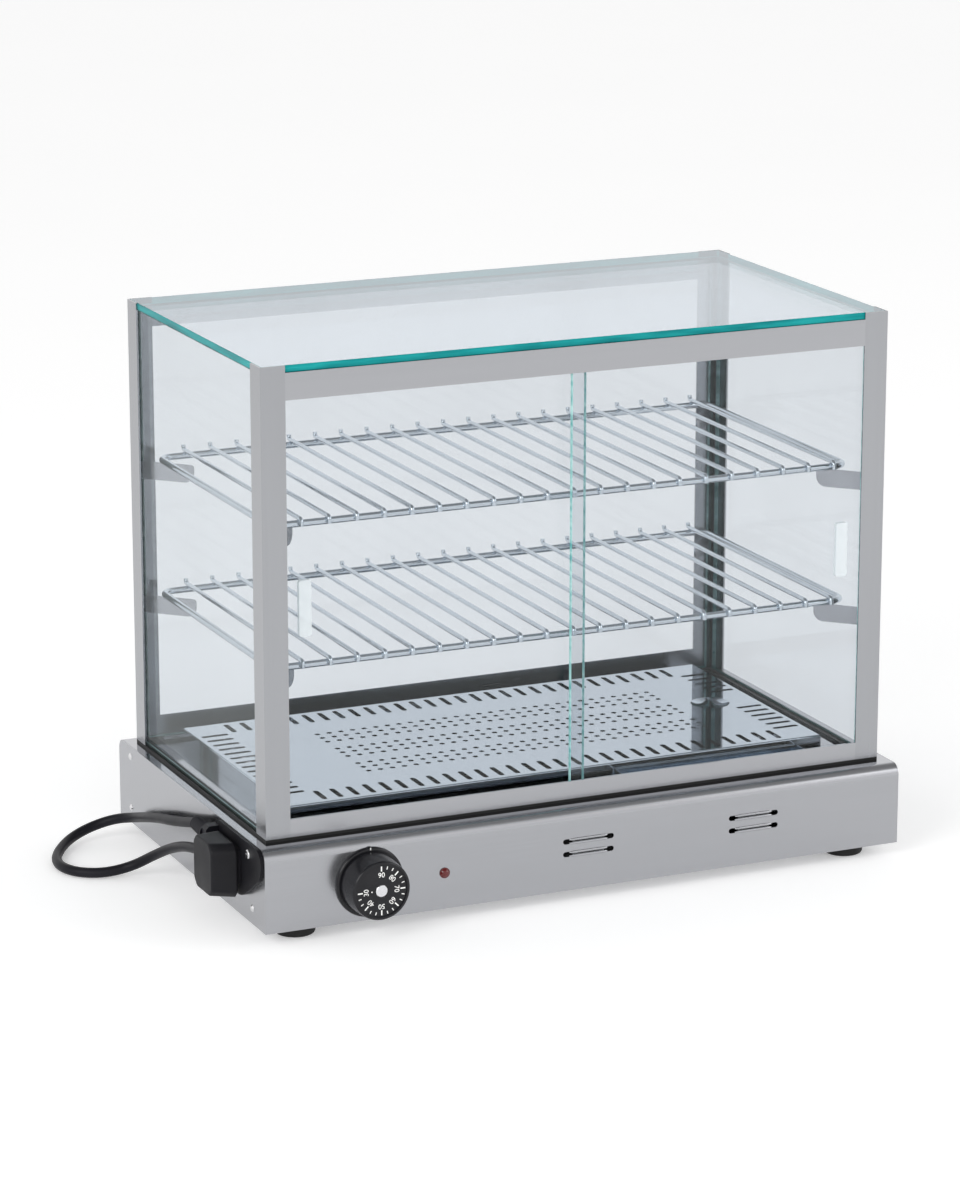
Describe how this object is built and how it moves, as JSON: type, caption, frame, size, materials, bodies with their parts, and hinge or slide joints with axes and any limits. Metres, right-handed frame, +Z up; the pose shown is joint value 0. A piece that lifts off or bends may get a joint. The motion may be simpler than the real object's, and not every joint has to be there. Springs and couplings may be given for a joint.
{
  "type": "bakery display case",
  "caption": "Countertop heated display case: steel heater base with a thermostat knob under a framed glass case with wire shelves, a perforated tray and sliding glass doors.",
  "frame": {"origin": "on the standing surface, under the middle of the base and its knob", "axes": "+Z is up, -Y is the customer side with the sliding doors and the knob, +X is to the right as seen from that side"},
  "size_m": [0.697, 0.388, 0.488],
  "materials": {
    "satin_steel": "fine-ground stainless sheet, satin",
    "bright_hardware": "bright stainless rivets, screws and spindle",
    "foot_rubber": "black moulded rubber",
    "dial_cap": "turned aluminium disc",
    "black_phenolic": "black phenolic moulding with white dial marks",
    "component_plastic": "light component plastic",
    "copper": "bare copper tube",
    "red_lens": "translucent red lamp lens",
    "element_sheath": "dark heat-tinted steel sheath",
    "pin_brass": "nickelled brass contact pins",
    "plug_plastic": "black moulded plastic with a fine grain",
    "cord_rubber": "black rubber sheath",
    "gasket_rubber": "black sealing strip",
    "track_aluminium": "extruded aluminium track",
    "clear_acrylic": "clear moulded finger pull",
    "case_glass": "float glass with ground blue-green edges",
    "shelf_wire": "bright electropolished wire",
    "tray_steel": "bright bluish stainless sheet"
  },
  "bodies": {
    "frame": {"base_bottom": "satin_steel", "base_side_left": "satin_steel", "base_side_right": "satin_steel", "base_wrap": "satin_steel", "bracket_lower_front_left": "satin_steel", "bracket_lower_front_right": "satin_steel", "bracket_lower_rear_left": "satin_steel", "bracket_lower_rear_right": "satin_steel", "bracket_upper_front_left": "satin_steel", "bracket_upper_front_right": "satin_steel", "bracket_upper_rear_left": "satin_steel", "bracket_upper_rear_right": "satin_steel", "case_gasket": "gasket_rubber", "door_track_bottom": "track_aluminium", "door_track_top": "track_aluminium", "element_brackets": "satin_steel", "foot_front_left": "foot_rubber", "foot_front_right": "foot_rubber", "foot_rear_left": "foot_rubber", "foot_rear_right": "foot_rubber", "foot_screws": "bright_hardware", "heat_shield": "satin_steel", "heating_element": "element_sheath", "holder_screws": "bright_hardware", "indicator_body": "component_plastic", "indicator_lens": "red_lens", "knob_bezel": "black_phenolic", "plug": "plug_plastic", "plug_holder": "plug_plastic", "plug_pins": "pin_brass", "post_front_left": "satin_steel", "post_front_right": "satin_steel", "post_rear_left": "satin_steel", "post_rear_right": "satin_steel", "power_cord": "cord_rubber", "rail_front_bottom": "satin_steel", "rail_front_top": "satin_steel", "rail_rear_bottom": "satin_steel", "rail_rear_top": "satin_steel", "rear_glass": "case_glass", "side_glass_left": "case_glass", "side_glass_right": "case_glass", "side_rivets": "bright_hardware", "strain_relief": "cord_rubber", "terminal_block": "component_plastic", "thermostat_body": "component_plastic", "thermostat_bulb": "copper", "top_glass": "case_glass", "water_pan": "tray_steel"},
    "door_left": {"door_left": "case_glass", "door_pull_left": "clear_acrylic"},
    "door_right": {"door_right": "case_glass", "door_pull_right": "clear_acrylic"},
    "knob": {"thermostat_knob": "black_phenolic", "knob_cap": "dial_cap", "thermostat_shaft": "bright_hardware"},
    "shelf_upper": {"shelf_upper": "shelf_wire"},
    "shelf_lower": {"shelf_lower": "shelf_wire"},
    "floor_tray": {"floor_tray": "tray_steel"}
  },
  "joints": [
    {"name": "door_left_slide", "type": "slide", "parent": "frame", "child": "door_left", "axis": [1, 0, 0], "range_m": [0, 0.26]},
    {"name": "door_right_slide", "type": "slide", "parent": "frame", "child": "door_right", "axis": [1, 0, 0], "range_m": [-0.26, 0]},
    {"name": "knob_turn", "type": "hinge", "parent": "frame", "child": "knob", "pos_m": [-0.2065, -0.166, 0.046], "axis": [0, -1, 0], "range_deg": [0, 270]},
    {"name": "shelf_upper_lift", "type": "slide", "parent": "frame", "child": "shelf_upper", "axis": [0, 0, 1], "range_m": [0, 0.06]},
    {"name": "shelf_lower_lift", "type": "slide", "parent": "frame", "child": "shelf_lower", "axis": [0, 0, 1], "range_m": [0, 0.05]},
    {"name": "floor_tray_lift", "type": "slide", "parent": "frame", "child": "floor_tray", "axis": [0, 0, 1], "range_m": [0, 0.05]}
  ]
}
